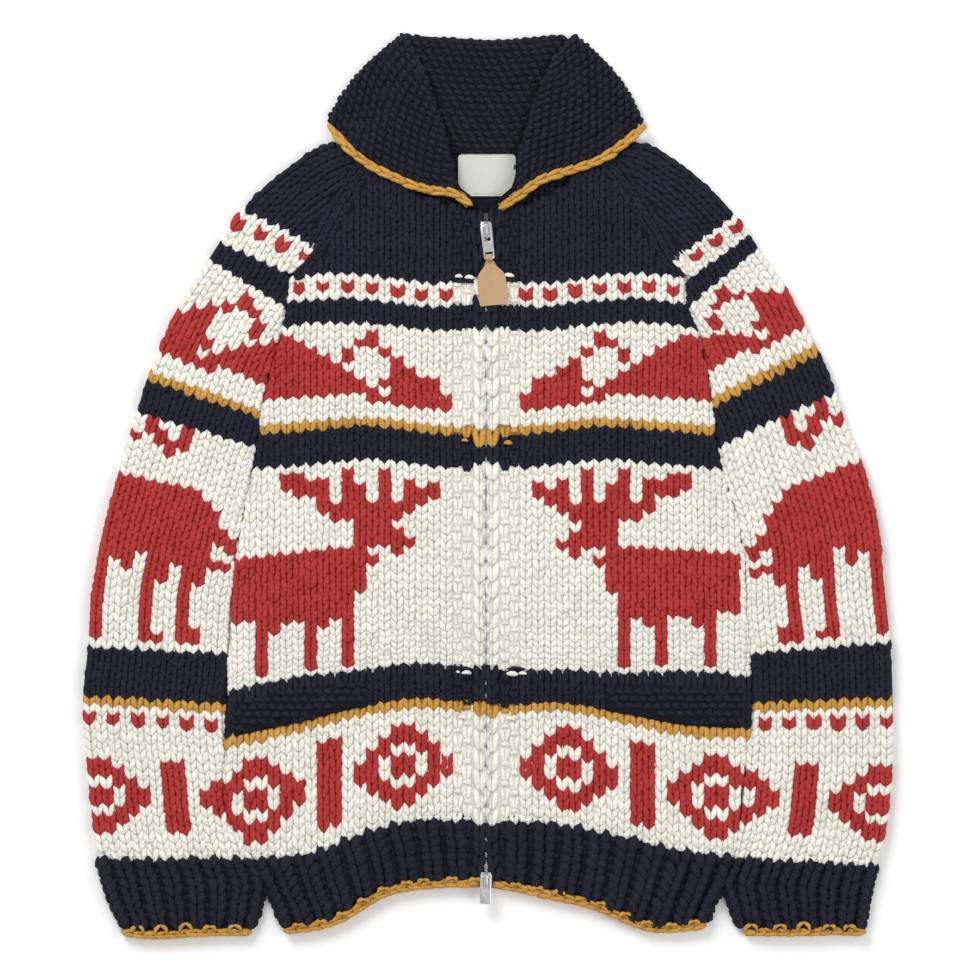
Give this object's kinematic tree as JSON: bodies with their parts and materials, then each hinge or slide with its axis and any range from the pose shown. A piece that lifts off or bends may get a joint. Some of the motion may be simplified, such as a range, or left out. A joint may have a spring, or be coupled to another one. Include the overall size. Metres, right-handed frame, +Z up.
{
  "type": "zip cardigan",
  "caption": "Hand-knit raglan cardigan of bulky wool with a rolled shawl collar, ribbed hem and cuffs, pocket welts and a two-way front zip, laid flat on its back.",
  "frame": {"origin": "centre of the bounding box in plan, on the surface that the cardigan lies on", "axes": "+X across to the right as seen from above, +Y from hem to collar, +Z up from the surface"},
  "size_m": [0.73, 0.8159, 0.0238],
  "materials": {
    "cream_wool": "super-bulky hand-knit wool, cream ground with navy, red and mustard bands",
    "navy_wool": "super-bulky navy wool in moss stitch",
    "mustard_wool": "mustard wool, chain-like bind-off",
    "zip_metal": "polished nickel-plated zip slider, tab and teeth",
    "zip_tape": "woven zip tape",
    "tan_leather": "vegetable-tanned strap leather",
    "label_cloth": "blank woven label"
  },
  "bodies": {
    "root": {"back": "cream_wool", "front_left": "cream_wool", "front_right": "cream_wool", "sleeve_left": "cream_wool", "sleeve_right": "cream_wool", "collar": "navy_wool", "pocket_welt_left": "navy_wool", "pocket_welt_right": "navy_wool", "collar_edging_left": "mustard_wool", "collar_edging_right": "mustard_wool", "collar_edging_back": "mustard_wool", "cuff_edging_left": "mustard_wool", "cuff_edging_right": "mustard_wool", "hem_edging_left": "mustard_wool", "hem_edging_right": "mustard_wool", "hem_edging_back": "mustard_wool", "zip_tape_left": "zip_tape", "zip_tape_right": "zip_tape", "slider_top": "zip_metal", "slider_bottom": "zip_metal", "neck_label": "label_cloth"},
    "pull_tab_top": {"pull_tab_top": "zip_metal"},
    "pull_leather": {"pull_leather": "tan_leather"},
    "pull_tab_bottom": {"pull_tab_bottom": "zip_metal"}
  },
  "joints": [
    {"name": "pull_tab_top_swing", "type": "hinge", "parent": "root", "child": "pull_tab_top", "pos_m": [-0.0018, 0.234, 0.0169], "axis": [-0.9945, -0.1045, 0], "range_deg": [0, 130]},
    {"name": "pull_leather_swing", "type": "hinge", "parent": "pull_tab_top", "child": "pull_leather", "pos_m": [0.00115, 0.20595, 0.0169], "axis": [-0.9945, -0.1045, 0], "range_deg": [0, 45]},
    {"name": "pull_tab_bottom_swing", "type": "hinge", "parent": "root", "child": "pull_tab_bottom", "pos_m": [-0.0018, -0.3515, 0.0169], "axis": [-0.9994, 0.0349, 0], "range_deg": [0, 130]}
  ]
}
